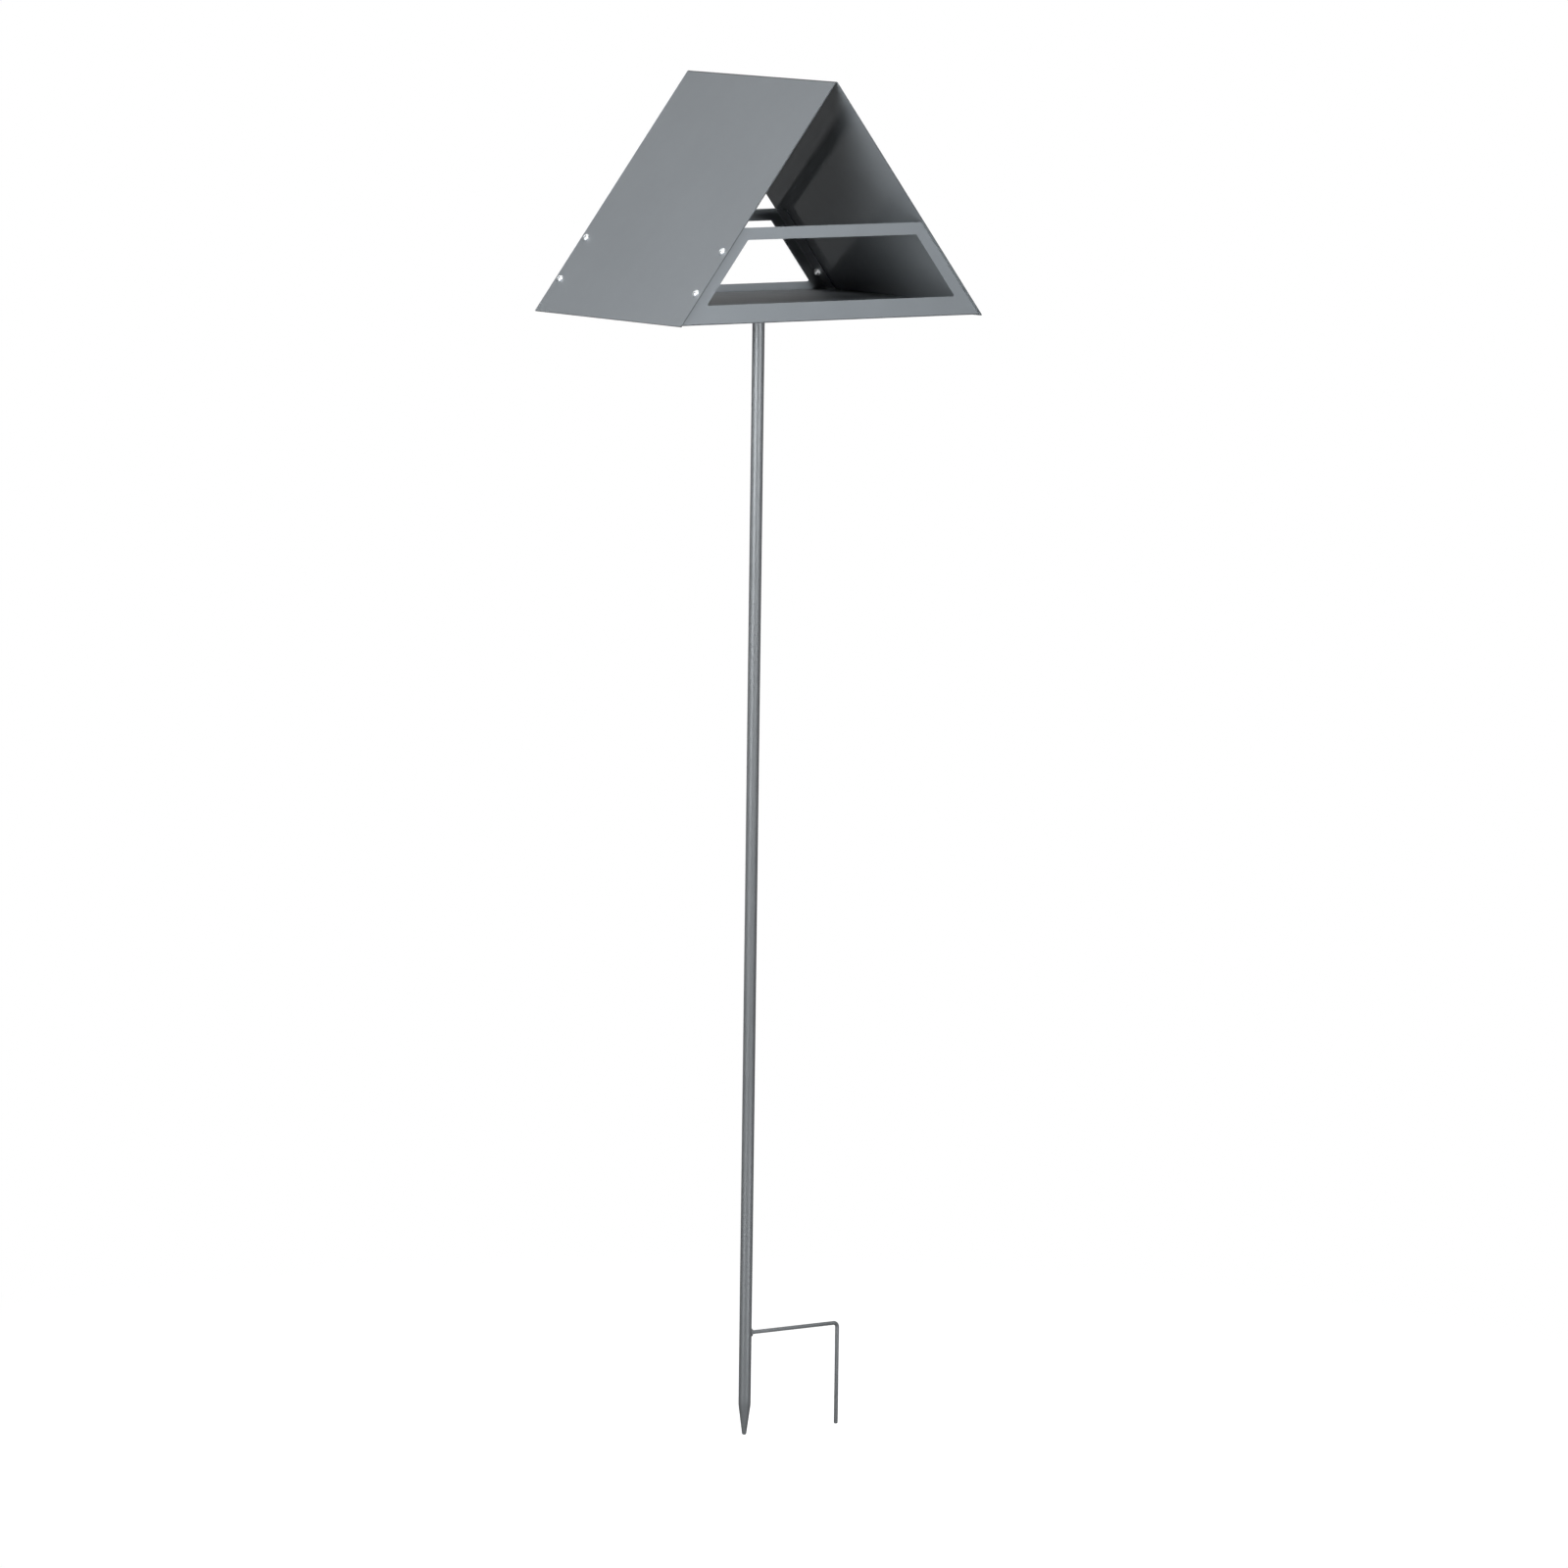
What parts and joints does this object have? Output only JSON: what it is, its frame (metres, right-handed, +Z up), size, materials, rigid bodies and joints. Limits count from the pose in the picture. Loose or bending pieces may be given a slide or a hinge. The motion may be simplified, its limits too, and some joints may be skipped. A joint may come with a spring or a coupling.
{
  "type": "bird feeder",
  "caption": "Tent-shaped bird feeder of folded sheet steel with open gables, trapezoid window frames and a raised seed floor, on a pointed garden stake with a bent foot rod.",
  "frame": {"origin": "centre of the flat end of the stake's point", "axes": "+Z up the stake, +X along the front of the house towards the foot rod's side, -Y out of the front window"},
  "size_m": [0.3, 0.2, 1.1073],
  "materials": {
    "house_coat": "satin mid-grey powder coat, very fine orange peel",
    "stake_coat": "satin mid-grey powder coat on round bar",
    "zinc": "bright zinc plate on the screws and nuts"
  },
  "bodies": {
    "root": {"roof_sheet": "house_coat", "front_frame": "house_coat", "back_frame": "house_coat", "floor_pan": "house_coat", "stake_plate": "stake_coat", "stake": "stake_coat", "foot_rod": "stake_coat"}
  },
  "joints": []
}
